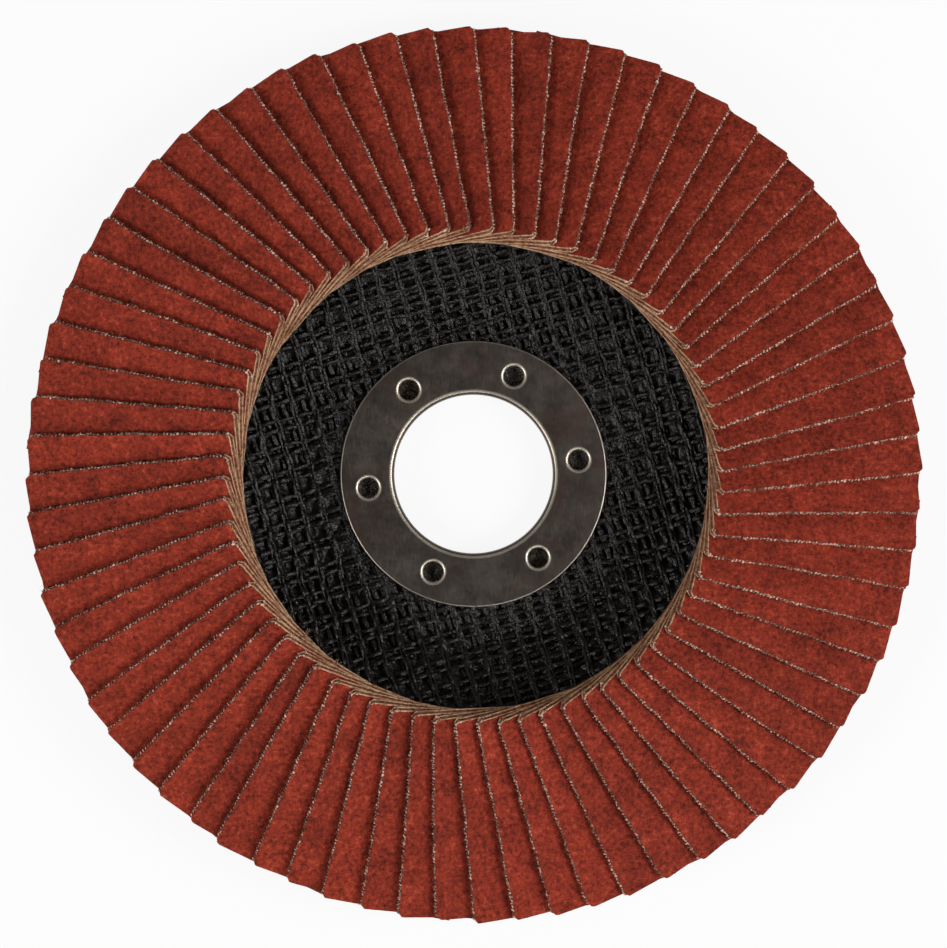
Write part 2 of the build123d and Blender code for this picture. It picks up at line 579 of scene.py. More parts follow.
def in_scene(name: str, data: bpy.types.ID) -> bpy.types.Object:
    """A new object in the scene."""
    made = bpy.data.objects.new(name, data)
    bpy.context.scene.collection.objects.link(made)
    return made


def baked(name: str, source: bpy.types.Object, **options: bool) -> bpy.types.Mesh:
    """What an object's modifiers make of it, as a plain mesh. The object goes."""
    graph = bpy.context.evaluated_depsgraph_get()
    made = bpy.data.meshes.new_from_object(source.evaluated_get(graph), depsgraph=graph, **options)
    bpy.data.objects.remove(source)
    made.name = name
    return made


def put_in_scene(name: str, mesh: bpy.types.Mesh, slot: Slot, *nodes: str) -> None:
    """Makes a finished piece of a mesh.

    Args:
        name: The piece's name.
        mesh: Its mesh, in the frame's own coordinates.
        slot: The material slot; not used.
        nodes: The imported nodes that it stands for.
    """
    piece = in_scene(name, mesh)
    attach(piece, BODY)
    if nodes:
        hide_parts(*nodes)
    log.info("%s: %d faces", name, len(mesh.polygons))


class Growth:
    """A Geometry Nodes tree with named inputs, run on a mesh and baked to a plain one."""

    def __init__(self, name: str, sizes: dict[str, float | int], takes_mesh: bool = True) -> None:
        """Starts the tree.

        Args:
            name: The tree's name.
            sizes: Its number inputs, with their values.
            takes_mesh: True where the tree works on the object's own mesh.
        """
        self.sizes = sizes
        self.tree = bpy.data.node_groups.new(name, "GeometryNodeTree")
        self.tree.is_modifier = True
        if takes_mesh:
            self.socket("Geometry", "Geometry")
        self.socket("Geometry", "Geometry", "OUTPUT")
        self.identifiers = {}
        for key, value in sizes.items():
            self.identifiers[key] = self.socket(key, "Int" if isinstance(value, int) else "Float")
        self.identifiers["Material"] = self.socket("Material", "Material")
        self.nodes = NodeMaker(self.tree)
        self.start = self.nodes.add("NodeGroupInput")

    def socket(self, name: str, kind: str, side: str = "INPUT") -> str:
        """Gives the tree an input or an output, and returns its identifier."""
        face = self.tree.interface
        return face.new_socket(name=name, in_out=side, socket_type="NodeSocket" + kind).identifier

    def size(self, key: str) -> Number:
        """One of the tree's number inputs."""
        return self.nodes.number(self.start, key)

    def add(self, kind: str, inputs: dict | None = None, **settings: str) -> bpy.types.Node:
        """Adds a node of a kind that only geometry trees have."""
        return self.nodes.add("GeometryNode" + kind, settings, inputs)

    def stepped(self, curve: object) -> bpy.types.Node:
        """A curve with a point at each step."""
        return self.add("ResampleCurve", {"Curve": curve, "Length": self.size("Step")}, mode="LENGTH")

    def tube(self, curve: object, sides: object, radius: Number, capped: bool) -> bpy.types.Node:
        """A tube along a curve.

        Args:
            curve: What it follows.
            sides: How many sides it has.
            radius: Its radius where the curve's own is 1.
            capped: True where its ends are closed.

        Returns:
            The node that gives the tube.
        """
        ring = self.add("CurvePrimitiveCircle", {"Resolution": sides, "Radius": radius})
        return self.add("CurveToMesh", {"Curve": curve, "Profile Curve": ring, "Fill Caps": capped})

    def finish(self, geometry: object) -> "Growth":
        """Ends the tree: copies are made real, shaded smooth and given the material."""
        real = self.add("RealizeInstances", {"Geometry": geometry})
        smooth = self.add("SetShadeSmooth", {"Geometry": real})
        material = self.start.outputs["Material"]
        dressed = self.add("SetMaterial", {"Geometry": smooth, "Material": material})
        self.nodes.add("NodeGroupOutput", {}, {"Geometry": dressed})
        return self

    def bake(
        self, name: str, mesh: bpy.types.Mesh, material: bpy.types.Material, **changes: float
    ) -> bpy.types.Mesh:
        """Runs the tree on a mesh.

        Args:
            name: Name of the new mesh.
            mesh: What the tree works on.
            material: The finish of what it makes.
            changes: Inputs that differ from the tree's own values.

        Returns:
            The plain mesh.
        """
        carrier = in_scene(name + "_carrier", mesh)
        modifier = carrier.modifiers.new("growth", "NODES")
        modifier.node_group = self.tree
        for key, value in {**self.sizes, **changes, "Material": material}.items():
            modifier[self.identifiers[key]] = value
        return baked(name, carrier, preserve_all_data_layers=True)


class LineGrowth(Growth):
    """What grows along lines: a swept yarn, or tufts at even steps."""

    def lines(self) -> bpy.types.Node:
        """The edges of the object's mesh as curves, with a point at each step."""
        return self.stepped(self.add("MeshToCurve", {"Mesh": self.start.outputs["Geometry"]}))

    def make_sweep(self) -> Growth:
        """Builds the tree of a wavy yarn that follows each line."""
        nodes = self.nodes
        shake = nodes.noise(self.add("InputPosition"), self.sizes["Wave"], seed=self.size("Seed"))
        centred = nodes.vector_math("SUBTRACT", {0: shake.outputs["Color"], 1: (0.5, 0.5, 0.5)})
        offset = nodes.scaled(centred, self.size("Shake"))
        moved = self.add("SetPosition", {"Geometry": self.lines(), "Offset": offset})
        swell = nodes.number(shake) * 0.9 + 0.55
        thick = self.add("SetCurveRadius", {"Curve": moved, "Radius": swell})
        return self.finish(self.tube(thick, self.size("Sides"), self.size("Radius"), True))

    def make_tufts(self) -> Growth:
        """Builds the tree of yarn ends and loose fibres that stand out along each line."""
        nodes = self.nodes
        points = self.add("CurveToPoints", {"Curve": self.lines()}, mode="EVALUATED")
        outward = self.add("InputNamedAttribute", {"Name": "outward"}, data_type="FLOAT_VECTOR")
        facing = nodes.add("FunctionNodeAlignRotationToVector", {"axis": "Z"}, {"Vector": outward})
        knot = self.add("MeshIcoSphere", {"Radius": self.size("Knot radius"), "Subdivisions": 1})
        knots = self.copies(points, knot, facing, self.random_vector(0.25, 1.35, 1))

        amount = self.size("Fibres")
        roots = self.add("DuplicateElements", {"Geometry": points, "Amount": amount}, domain="POINT")
        length = self.size("Fibre length")
        arc = self.add(
            "CurveQuadraticBezier",
            {
                "Resolution": 3,
                "Start": (0, 0, 0),
                "Middle": nodes.vector(length * 0.25, 0.0, length * 0.55),
                "End": nodes.vector(length * -0.15, 0.0, length),
            },
        )
        fibre = self.tube(arc, 3, self.size("Fibre radius"), True)
        lean = {0: facing, 1: self.random_vector(-1.0, 1.0, 2)}
        turned = nodes.add("FunctionNodeRotateRotation", {"rotation_space": "LOCAL"}, lean)
        fibres = self.copies(roots, fibre, turned, self.random_vector(0.4, 1.3, 3))
        joined = self.add("JoinGeometry")
        for part in (knots, fibres):
            self.tree.links.new(part.outputs[0], joined.inputs[0])
        return self.finish(joined)

    def copies(self, points: object, shape: object, turn: object, size: object) -> bpy.types.Node:
        """Copies of a shape on points.

        Args:
            points: Where they stand.
            shape: What is copied.
            turn, size: Rotation and scale of each copy.

        Returns:
            The node that gives the copies.
        """
        places = {"Points": points, "Instance": shape, "Rotation": turn, "Scale": size}
        return self.add("InstanceOnPoints", places)

    def random_vector(self, low: float, high: float, shift: int) -> bpy.types.NodeSocket:
        """A random vector for each point.

        Args:
            low, high: Range of each of its numbers.
            shift: Added to the seed, so that two of them differ.

        Returns:
            The vector's socket.
        """
        inputs = {0: (low, low, low), 1: (high, high, high), "Seed": self.size("Seed") + shift}
        made = self.nodes.add("FunctionNodeRandomValue", {"data_type": "FLOAT_VECTOR"}, inputs)
        return made.outputs[0]


class WeaveGrowth(Growth):
    """One set of parallel threads, pressed on to the dished face of the plate."""

    STRAY_LENGTH = 6 * MM
    LUMP_SIZE = 1.1 * MM
    PRESSED_BAND = (19.2 * MM, 25.0 * MM)
    PRESSED_SHARE = 0.3

    def make(self) -> Growth:
        """Builds the tree: straight lines are swept flat, and the result is laid on the plate."""
        nodes, size = self.nodes, self.size
        threads = self.thread_lines()
        along = self.position()[0]
        shake = nodes.number(
            nodes.noise(self.add("InputPosition"), self.STRAY_LENGTH, seed=size("Seed"))
        )
        turn = along * FULL_TURN / size("Crimp length") + size("Crimp phase")
        crimp = turn.cosine() * size("Crimp height") / size("Flatness")
        offset = nodes.vector(0.0, (shake - 0.5) * size("Stray"), crimp)
        moved = self.add("SetPosition", {"Geometry": threads, "Offset": offset})
        thick = self.add("SetCurveRadius", {"Curve": moved, "Radius": shake + 0.5})
        tubes = self.tube(thick, size("Sides"), size("Radius"), False)
        lumps = nodes.number(nodes.noise(self.add("InputPosition"), self.LUMP_SIZE))
        swollen = nodes.scaled(self.add("InputNormal"), (lumps - 0.5) * size("Lumps"))
        lumpy = self.add("SetPosition", {"Geometry": tubes, "Offset": swollen})
        rotation = nodes.vector(0.0, 0.0, size("Angle"))
        turned = self.add("Transform", {"Geometry": lumpy, "Rotation": rotation})

        x, y, z = self.position()
        radius = (x * x + y * y) ** 0.5
        outside = radius.above(size("Outer radius")) + (size("Inner radius") - radius).above(0.0)
        selection = {"Geometry": turned, "Selection": outside.above(0.5)}
        kept = self.add("DeleteGeometry", selection, domain="FACE")
        rise = (radius - size("Hub radius")).at_least(0.0) * size("Wall slope")
        rise = rise.at_most(size("Wall rise"))
        pressed = radius.ramp(*self.PRESSED_BAND) * (1 - self.PRESSED_SHARE) + self.PRESSED_SHARE
        local = (z * size("Flatness") + size("Level")) * pressed
        place = nodes.vector(x, y, rise + local + size("Hub height"))
        return self.finish(self.add("SetPosition", {"Geometry": kept, "Position": place}))

    def thread_lines(self) -> bpy.types.Node:
        """The straight lines of the threads, along X and a pitch apart."""
        nodes, size = self.nodes, self.size
        ends = {"Start": nodes.vector(size("Reach") * -1), "End": nodes.vector(size("Reach"))}
        spine = self.stepped(self.add("CurvePrimitiveLine", ends, mode="POINTS"))
        first = size("Shift") - (size("Threads") - 1) * size("Pitch") * 0.5
        rows = self.add(
            "MeshLine",
            {
                "Count": size("Threads"),
                "Start Location": nodes.vector(0.0, first),
                "Offset": nodes.vector(0.0, size("Pitch")),
            },
            mode="OFFSET",
        )
        copies = self.add("InstanceOnPoints", {"Points": rows, "Instance": spine})
        return self.add("RealizeInstances", {"Geometry": copies})

    def position(self) -> list[Number]:
        """The three coordinates of each point."""
        return self.nodes.split(self.add("InputPosition"))


@dataclass
class FlapSheet:
    """One flap along X: a slightly twisted sheet of coated cloth, irregular as a cut piece is."""

    number: int
    angle: float
    first_seed: int = 4100
    width: float = 18 * MM
    thickness: float = 0.8 * MM
    inner_radius: float = 34.0 * MM
    inner_dip: float = 1.32 * MM
    inner_slant: float = 0.3 * MM
    slant_run: float = 0.2 * MM
    slant_power: float = 0.7
    lean_angle: float = math.radians(15)
    lean_sideways: float = 0.28 * MM
    lean_down: float = 0.2 * MM
    outer_radius: float = 62.5 * MM
    edge_offset: float = 5.5 * MM
    edge_reach: float = 1.5 * MM
    face_slope: float = math.tan(math.radians(14))
    rise_per_radian: float = 12.811 * MM
    inner_round: float = 0.3 * MM
    shown_width: float = 6.2 * MM
    step: float = 0.37 * MM
    hidden_step: float = 1.6 * 0.37 * MM
    lift: float = 7.75 * MM
    # Middle, spread, least and most of what is drawn for each flap.
    turn_degrees: tuple[float, ...] = (0, 0.16, -0.32, 0.32)
    free_lift_mm: tuple[float, ...] = (0, 0.04, -0.08, 0.05)
    tones: tuple[float, ...] = (1.0, 0.05, 0.88, 1.12)
    # Ranges and spreads in millimetres.
    trim_mm: Span = (0.0, 0.38)
    inner_trim_mm: Span = (-0.14, 0.14)
    bow_mm: float = 0.1
    outer_round_mm: Span = (0.4, 0.9)
    wave_height_mm: Span = (0.01, 0.035)
    wave_length_mm: Span = (2.5, 14)
    wave_count: int = 4
    grain_relief_mm: float = 0.016
    swell_height: float = 0.03 * MM
    swell_turns: Span = (19, 11)
    swell_shift: float = 2.4
    # Rings down the cut edge: share of the thickness, bulge and roughness in millimetres, share of
    # the inner end's slant, and what the faces above it show.
    edge_rings: tuple[tuple[float, float, float, float, Face], ...] = (
        (0.3, 0.01, 0.02, 0.12, Face.GRAIN),
        (0.62, 0.03, 0.045, 0.6, Face.CUT),
        (1.0, -0.02, 0.02, 1.0, Face.CUT),
    )
    points: list = field(default_factory=list, init=False)
    faces: list = field(default_factory=list, init=False)
    kinds: list = field(default_factory=list, init=False)
    cloth: list = field(default_factory=list, init=False)

    def __post_init__(self) -> None:
        """Draws this flap's own irregularities."""
        self.random = np.random.default_rng(self.first_seed + self.number)
        uniform = self.random.uniform
        self.turn = self.drawn(self.turn_degrees) * math.pi / 180
        self.trim = uniform(*self.trim_mm) * MM
        self.inner_trim = uniform(*self.inner_trim_mm) * MM
        self.lift_free = self.drawn(self.free_lift_mm) * MM
        self.tone = self.drawn(self.tones)
        self.bow = self.random.normal(0, self.bow_mm) * MM
        self.outer_round = uniform(*self.outer_round_mm) * MM
        self.waves = []
        for _ in range(self.wave_count):
            height, length = uniform(*self.wave_height_mm) * MM, uniform(*self.wave_length_mm) * MM
            self.waves.append((height, length, uniform(0, FULL_TURN)))
        self.inner_dip -= self.lean_sideways * math.cos(self.angle + self.lean_angle)
        self.inner_radius -= self.lean_down * math.sin(self.angle)
        self.inner, self.outer = self.corners()
        self.length = float(np.linalg.norm(self.outer[0] - self.inner[0]))

    def drawn(self, spread: tuple[float, ...]) -> float:
        """A random number from its middle, spread, least and most."""
        middle, deviation, least, most = spread
        return float(np.clip(self.random.normal(middle, deviation), least, most))

    def top_height(self, reach: float, side: float) -> float:
        """Height of the flap's top over a point of the plan, with its free outer corner at 0."""
        radius = math.hypot(reach, side)
        turned = math.atan2(side, reach) + math.asin(self.edge_offset / radius)
        return (self.outer_radius - radius) * self.face_slope - self.rise_per_radian * turned

    def corners(self) -> list[np.ndarray]:
        """The free top corner and the foot's, at the inner end and at the outer end."""
        foot_side = self.width - self.edge_offset
        inner_reach = math.sqrt(self.inner_radius**2 - self.edge_offset**2)
        outer_reach = math.sqrt(self.outer_radius**2 - self.edge_offset**2)
        end_radius = self.inner_radius - self.inner_dip
        free_turn = math.asin(self.edge_offset / self.inner_radius)
        touch = math.acos(end_radius / self.inner_radius) - free_turn
        inner_foot = (end_radius - foot_side * math.sin(touch)) / math.cos(touch)
        outer_foot = outer_reach + self.top_height(outer_reach, foot_side) * self.face_slope
        ends = []
        for free_reach, foot_reach in ((inner_reach, inner_foot), (outer_reach, outer_foot)):
            end = []
            for reach, side in ((free_reach, -self.edge_offset), (foot_reach, foot_side)):
                end.append((reach, side, self.top_height(reach, side) + self.lift))
            ends.append(np.array(end))
        return ends

    def free_wave(self, along: np.ndarray) -> np.ndarray:
        """How far the free edge strays sideways at each distance from the inner end."""
        stray = self.bow * np.sin(math.pi * along / self.length)
        for height, length, phase in self.waves:
            stray = stray + height * np.sin(FULL_TURN * along / length + phase)
        return stray

    def on_top(self, along: np.ndarray, across: np.ndarray) -> np.ndarray:
        """Points of the smooth top face.

        Args:
            along: Shares of the way from the inner end to the outer end.
            across: Shares of the way from the free edge to the foot.

        Returns:
            The points, one row each.
        """
        side = across * self.width
        start = (self.corner_cut(side, self.inner_round) + self.inner_trim) / self.length
        outer_cut = self.corner_cut(side, self.outer_round) + self.trim
        share = start + along * (1 - start - outer_cut / self.length)
        share = share[:, None]
        across = across[:, None]
        inner = self.inner[0] * (1 - across) + self.inner[1] * across
        outer = self.outer[0] * (1 - across) + self.outer[1] * across
        made = inner * (1 - share) + outer * share
        near = np.exp(-side / self.edge_reach)
        made[:, 1] += self.free_wave(share[:, 0] * self.length) * near
        made[:, 2] += self.lift_free * near
        return made

    @staticmethod
    def corner_cut(side: np.ndarray, rounding: float) -> np.ndarray:
        """How far a rounded corner takes back the end, at a distance from the free edge."""
        inside = np.clip(rounding - side, 0, rounding)
        return rounding - np.sqrt(rounding**2 - inside**2)

    def normals(self, along: np.ndarray, across: np.ndarray) -> np.ndarray:
        """Directions straight out of the top face."""
        across = across[:, None]
        along = along[:, None]
        free, foot = self.outer[0] - self.inner[0], self.outer[1] - self.inner[1]
        near, far = self.inner[1] - self.inner[0], self.outer[1] - self.outer[0]
        made = np.cross(free * (1 - across) + foot * across, near * (1 - along) + far * along)
        return made / np.linalg.norm(made, axis=1)[:, None]

    def add_points(self, points: np.ndarray, along: np.ndarray, across: np.ndarray) -> list[int]:
        """Adds points, with their place on the cloth, and returns their numbers."""
        first = len(self.points)
        self.points.extend(points.tolist())
        self.cloth.extend(zip((along * self.length).tolist(), (across * self.width).tolist()))
        return list(range(first, first + len(points)))

    def add_face(self, corners: list[int], kind: Face) -> None:
        """Adds one face."""
        self.faces.append(corners)
        self.kinds.append(kind)

    def build(self) -> None:
        """Makes the flap's points and faces."""
        steps = round(self.length / self.step)
        along = np.linspace(0, 1, steps + 1)
        edge = self.shown_width / self.width
        shown_rows = round(self.shown_width / self.step)
        hidden_rows = round((self.width - self.shown_width) / self.hidden_step)
        shown = np.linspace(0, edge, shown_rows + 1)
        hidden = np.linspace(edge, 1, hidden_rows + 1)[1:]

        grid = [self.add_top_row(along, row) for row in shown]
        far = self.add_top_row(along, 1.0)
        for near_row, next_row in zip(grid, grid[1:]):
            for i in range(steps):
                self.add_face([near_row[i], near_row[i + 1], next_row[i + 1], next_row[i]], Face.GRAIN)

        ends = []
        for end, index in ((0.0, 0), (1.0, -1)):
            column = self.add_end_column(end, hidden[:-1])
            ends.append([row[index] for row in grid] + column + [far[index]])
        last = grid[-1]
        self.add_face([last[0], last[1], far[1]] + ends[0][:shown_rows:-1], Face.GRAIN)
        for i in range(1, steps - 1):
            self.add_face([last[i], last[i + 1], far[i + 1], far[i]], Face.GRAIN)
        self.add_face([last[-2]] + ends[1][shown_rows:] + [far[-2]], Face.GRAIN)

        loop = grid[0][:-1] + ends[1][:-1] + far[:0:-1] + ends[0][:0:-1]
        self.add_walls(loop, steps, shown_rows + hidden_rows)

    def add_top_row(self, along: np.ndarray, across: float) -> list[int]:
        """Adds one lengthwise row of the top face, with the grain's own relief."""
        row = np.full_like(along, across)
        made = self.on_top(along, row)
        relief = self.random.normal(0, self.grain_relief_mm, len(along)) * MM
        long_turns, cross_turns = self.swell_turns
        slow = self.swell_height * np.sin(along * long_turns + self.number * self.swell_shift)
        slow = slow * np.sin(across * cross_turns + self.number)
        made += self.normals(along, row) * (relief + slow)[:, None]
        return self.add_points(made, along, row)

    def add_end_column(self, along: float, across: np.ndarray) -> list[int]:
        """Adds points of an end's top edge, where the next flap hides the face beside them."""
        column = np.full_like(across, along)
        return self.add_points(self.on_top(column, across), column, across)

    def add_walls(self, loop: list[int], steps: int, rows: int) -> None:
        """Adds the cut edges under the top's outline, and the back.

        Args:
            loop: The top's outline, from the free inner corner along the free edge.
            steps: How many steps the long edges have.
            rows: How many steps the ends have.
        """
        top = np.array([self.points[i] for i in loop])
        flat = np.array([self.cloth[i] for i in loop])
        along, across = flat[:, 0] / self.length, flat[:, 1] / self.width
        down = -self.normals(along, across)
        out = np.cross(np.roll(top, -1, 0) - np.roll(top, 1, 0), -down)
        out /= np.linalg.norm(out, axis=1)[:, None]
        count = len(loop)
        far_corner = 2 * steps + rows
        inward = np.zeros(count)
        inward[far_corner:] = self.slant_share(across[far_corner:])
        inward = inward[:, None] * self.inward()
        previous = loop
        for depth, bulge, rough, slant, kind in self.edge_rings:
            stray = (bulge + self.random.normal(0, rough, count)) * MM
            ring = top + down * (depth * self.thickness) + out * stray[:, None]
            ring = ring + inward * (slant * self.inner_slant)
            current = self.add_points(ring, along, across)
            for i in range(count):
                j = (i + 1) % count
                self.add_face([previous[i], current[i], current[j], previous[j]], kind)
            previous = current
        near = previous[:steps + 1]
        outer = previous[steps:steps + rows + 1]
        far = previous[steps + rows:far_corner + 1][::-1]
        inner = [previous[0]] + previous[:far_corner - 1:-1]
        self.add_face([near[1], near[0]] + inner[1:] + [far[1]], Face.BACK)
        for i in range(1, steps - 1):
            self.add_face([near[i + 1], near[i], far[i], far[i + 1]], Face.BACK)
        self.add_face([near[-2], far[-2]] + outer[::-1], Face.BACK)

    def slant_share(self, across: np.ndarray) -> np.ndarray:
        """How much of the inner end's slant there is, at shares of the way to the foot."""
        return np.clip(across * self.width / self.slant_run, 0, 1) ** self.slant_power

    def inward(self) -> np.ndarray:
        """Direction along the flap, towards the bore."""
        along = self.inner[0] - self.outer[0]
        return along / np.linalg.norm(along)

    def turned(self, points: np.ndarray) -> np.ndarray:
        """Points of the flap along X, turned to the flap's own place on the disc."""
        angle = self.angle + self.turn
        c, s = math.cos(angle), math.sin(angle)
        made = points.copy()
        made[:, 0] = points[:, 0] * c - points[:, 1] * s
        made[:, 1] = points[:, 0] * s + points[:, 1] * c
        return made

    def end_line(
        self, along: float, depth: float, slant: float, spacing: float, end: float = 1.0
    ) -> np.ndarray:
        """A line along one end of the flap.

        Args:
            along: 0 for the inner end and 1 for the outer end.
            depth: Share of the thickness below the top.
            slant: How far it lies towards the bore from the top's edge, as a share of the end's slant.
            spacing: Distance between its points.
            end: Share of the way to the foot at which it ends.

        Returns:
            Its points, at the flap's place on the disc.
        """
        across = np.linspace(0, end, round(self.width * end / spacing) + 1)
        column = np.full_like(across, along)
        made = self.on_top(column, across) - self.normals(column, across) * depth * self.thickness
        shift = slant * self.inner_slant * self.slant_share(across)
        return self.turned(made + self.inward() * shift[:, None])

    def free_line(self, depth: float, spacing: float) -> tuple[np.ndarray, np.ndarray]:
        """A line along the free edge.

        Args:
            depth: Share of the thickness below the top.
            spacing: Distance between its points.

        Returns:
            Its points and the directions that the edge faces there, at the flap's place on the disc.
        """
        along = np.linspace(0, 1, round(self.length / spacing) + 1)
        row = np.zeros_like(along)
        up = self.normals(along, row)
        made = self.on_top(along, row) - up * depth * self.thickness
        out = np.cross(self.outer[0] - self.inner[0], up)
        out /= np.linalg.norm(out, axis=1)[:, None]
        return self.turned(made), self.turned(out)


@dataclass
class FlapRing:
    """The ring of overlapping flaps, with their frayed cut edges."""

    count: int = 72
    per_node: int = 2
    first_angle: float = math.radians(0.3)
    line_step: float = 0.3 * MM
    inner_yarns: tuple[Span, ...] = ((0.1, 0.0), (0.88, 0.95))
    rim_yarn_depth: float = 0.66
    rim_yarn_sink: float = 0.5
    tuft_depths: Span = (0.34, 0.78)
    corner_share: float = 0.03
    sharp_angle: float = math.radians(50)
    # Angle and reach, in degrees and millimetres, of the fibres that stand out into the opening.
    stray_spots: tuple[Span, ...] = ((-4.0, 32.0), (224.0, 31.2), (234.0, 31.5), (352.0, 32.1))
    strays_per_spot: int = 4
    stray_points: int = 7
    stray_seed: int = 52
    stray_start_degrees: Span = (-1.2, 1.2)
    stray_turn_degrees: Span = (-1.8, 1.8)
    stray_reach: Span = (0.6, 1.1)
    stray_rise_mm: Span = (-0.4, 0.9)
    wall_radius: float = 32.6 * MM
    stray_height: float = 11.6 * MM
    grain: GrainCoat = GrainCoat()
    edge: CutCloth = CutCloth()
    back: BackCloth = BackCloth()
    yarn: LooseYarn = LooseYarn()
    # The frayed edges have more and darker specks: partly stained yarn, partly painted shade along the free
    # edges.
    fray: LooseYarn = LooseYarn(
        "frayed_edge", tint(246, 206, 184), tint(164, 114, 94), tint(46, 22, 17), speck_share=0.46
    )

    def build(self) -> None:
        """Makes every pair of flaps and the yarns on their edges."""
        finishes = [self.grain.make(), self.edge.make(), self.back.make()]
        yarn, fray = self.yarn.make(), self.fray.make()
        sweep = self.yarn_growth()
        tufts = self.tuft_growth()
        for node in range(self.count // self.per_node):
            sheets = []
            for place in range(self.per_node):
                number = node * self.per_node + place
                sheet = FlapSheet(number, self.first_angle + number * FULL_TURN / self.count)
                sheet.build()
                sheets.append(sheet)
            label = f"{node + 1:02d}"
            cloth = self.cloth_mesh("flap_cloth_" + label, sheets, finishes)
            put_in_scene("flap_cloth_" + label, cloth, Slot.CLOTH, "flap_pair_" + label)
            swept = sweep.bake("flap_yarn_" + label, self.yarn_lines(sheets), yarn, Seed=node)
            put_in_scene("flap_yarn_" + label, swept, Slot.CLOTH)
            frayed = tufts.bake("flap_fray_" + label, self.fray_lines(sheets), fray, Seed=node * 7)
            put_in_scene("flap_fray_" + label, frayed, Slot.CLOTH)

        thin = {"Radius": 0.035 * MM, "Sides": 4, "Shake": 0.5 * MM, "Seed": 77}
        strays = sweep.bake("stray_fibres", self.stray_lines(), yarn, **thin)
        put_in_scene("stray_fibres", strays, Slot.CLOTH)

    @staticmethod
    def yarn_growth() -> Growth:
        """The tree of the bare yarns at the flaps' ends."""
        sizes = {
            "Step": 0.4 * MM,
            "Radius": 0.12 * MM,
            "Sides": 5,
            "Wave": 1.2 * MM,
            "Shake": 0.16 * MM,
            "Seed": 5,
        }
        return LineGrowth("edge_yarn", sizes).make_sweep()

    @staticmethod
    def tuft_growth() -> Growth:
        """The tree of the tufts on the flaps' free edges."""
        sizes = {
            "Step": 0.5 * MM,
            "Knot radius": 0.26 * MM,
            "Fibres": 1,
            "Fibre length": 0.4 * MM,
            "Fibre radius": 0.024 * MM,
            "Seed": 9,
        }
        return LineGrowth("frayed_edge", sizes).make_tufts()

    def stray_lines(self) -> bpy.types.Mesh:
        """Short lines of the few fibres that stand out of the wall into the opening."""
        uniform = np.random.default_rng(self.stray_seed).uniform
        share = np.linspace(0, 1, self.stray_points)
        lines = []
        for degrees, reach in self.stray_spots:
            for _ in range(self.strays_per_spot):
                start = math.radians(degrees + uniform(*self.stray_start_degrees))
                end = start + math.radians(uniform(*self.stray_turn_degrees))
                run = (reach * MM - self.wall_radius) * share * uniform(*self.stray_reach)
                radius = self.wall_radius + run
                angle = start + (end - start) * share
                height = self.stray_height + uniform(*self.stray_rise_mm) * MM * share
                lines.append(np.stack([radius * np.cos(angle), radius * np.sin(angle), height], axis=1))
        return self.line_mesh(lines)

    def cloth_mesh(self, name: str, sheets: list[FlapSheet], finishes: list) -> bpy.types.Mesh:
        """Joins the sheets of one node in a mesh.

        Args:
            name: The mesh's name.
            sheets: The flaps.
            finishes: Materials of the grain, the cut edges and the back.

        Returns:
            The mesh, with its place on the cloth as a UV map and the flaps' tone.
        """
        points, faces, kinds, cloth, tones = [], [], [], [], []
        for sheet in sheets:
            first = sum(len(part) for part in points)
            points.append(sheet.turned(np.array(sheet.points)))
            faces.extend([corner + first for corner in face] for face in sheet.faces)
            kinds.extend(sheet.kinds)
            cloth.extend(sheet.cloth)
            tones.extend([sheet.tone] * len(sheet.points))
        mesh = mesh_of(name, np.concatenate(points), faces)
        for finish in finishes:
            mesh.materials.append(finish)
        mesh.polygons.foreach_set("material_index", kinds)
        corners = np.zeros(len(mesh.loops), np.int32)
        mesh.loops.foreach_get("vertex_index", corners)
        layer = mesh.uv_layers.new(name="cloth")
        layer.data.foreach_set("uv", np.array(cloth)[corners].ravel())
        tone = mesh.attributes.new("tone", "FLOAT", "POINT")
        tone.data.foreach_set("value", tones)
        return smoothed(mesh, self.sharp_angle)

    def yarn_lines(self, sheets: list[FlapSheet]) -> bpy.types.Mesh:
        """The lines that the bare yarns at the flaps' ends follow."""
        lines = []
        for sheet in sheets:
            for depth, slant in self.inner_yarns:
                lines.append(sheet.end_line(0.0, depth, slant, self.line_step))
            lines.append(sheet.end_line(1.0, self.rim_yarn_depth, self.rim_yarn_sink, self.line_step))
        return self.line_mesh(lines)

    def fray_lines(self, sheets: list[FlapSheet]) -> bpy.types.Mesh:
        """The lines of the free edges, with the direction that each point faces."""
        lines, outward = [], []
        for sheet in sheets:
            for depth in self.tuft_depths:
                line, facing = sheet.free_line(depth, self.line_step)
                lines.append(line)
                outward.append(facing)
            for depth, slant in self.inner_yarns:
                knot = sheet.end_line(0.0, depth, slant, self.line_step, self.corner_share)
                lines.append(knot)
                outward.append(np.tile(sheet.turned(sheet.inward()[None, :]), (len(knot), 1)))
        mesh = self.line_mesh(lines)
        layer = mesh.attributes.new("outward", "FLOAT_VECTOR", "POINT")
        layer.data.foreach_set("vector", np.concatenate(outward).ravel())
        return mesh

    @staticmethod
    def line_mesh(lines: list[np.ndarray]) -> bpy.types.Mesh:
        """A mesh of edges, one run for each line."""
        edges = []
        first = 0
        for line in lines:
            edges.extend((first + i, first + i + 1) for i in range(len(line) - 1))
            first += len(line)
        return mesh_of("lines", np.concatenate(lines), [], edges)


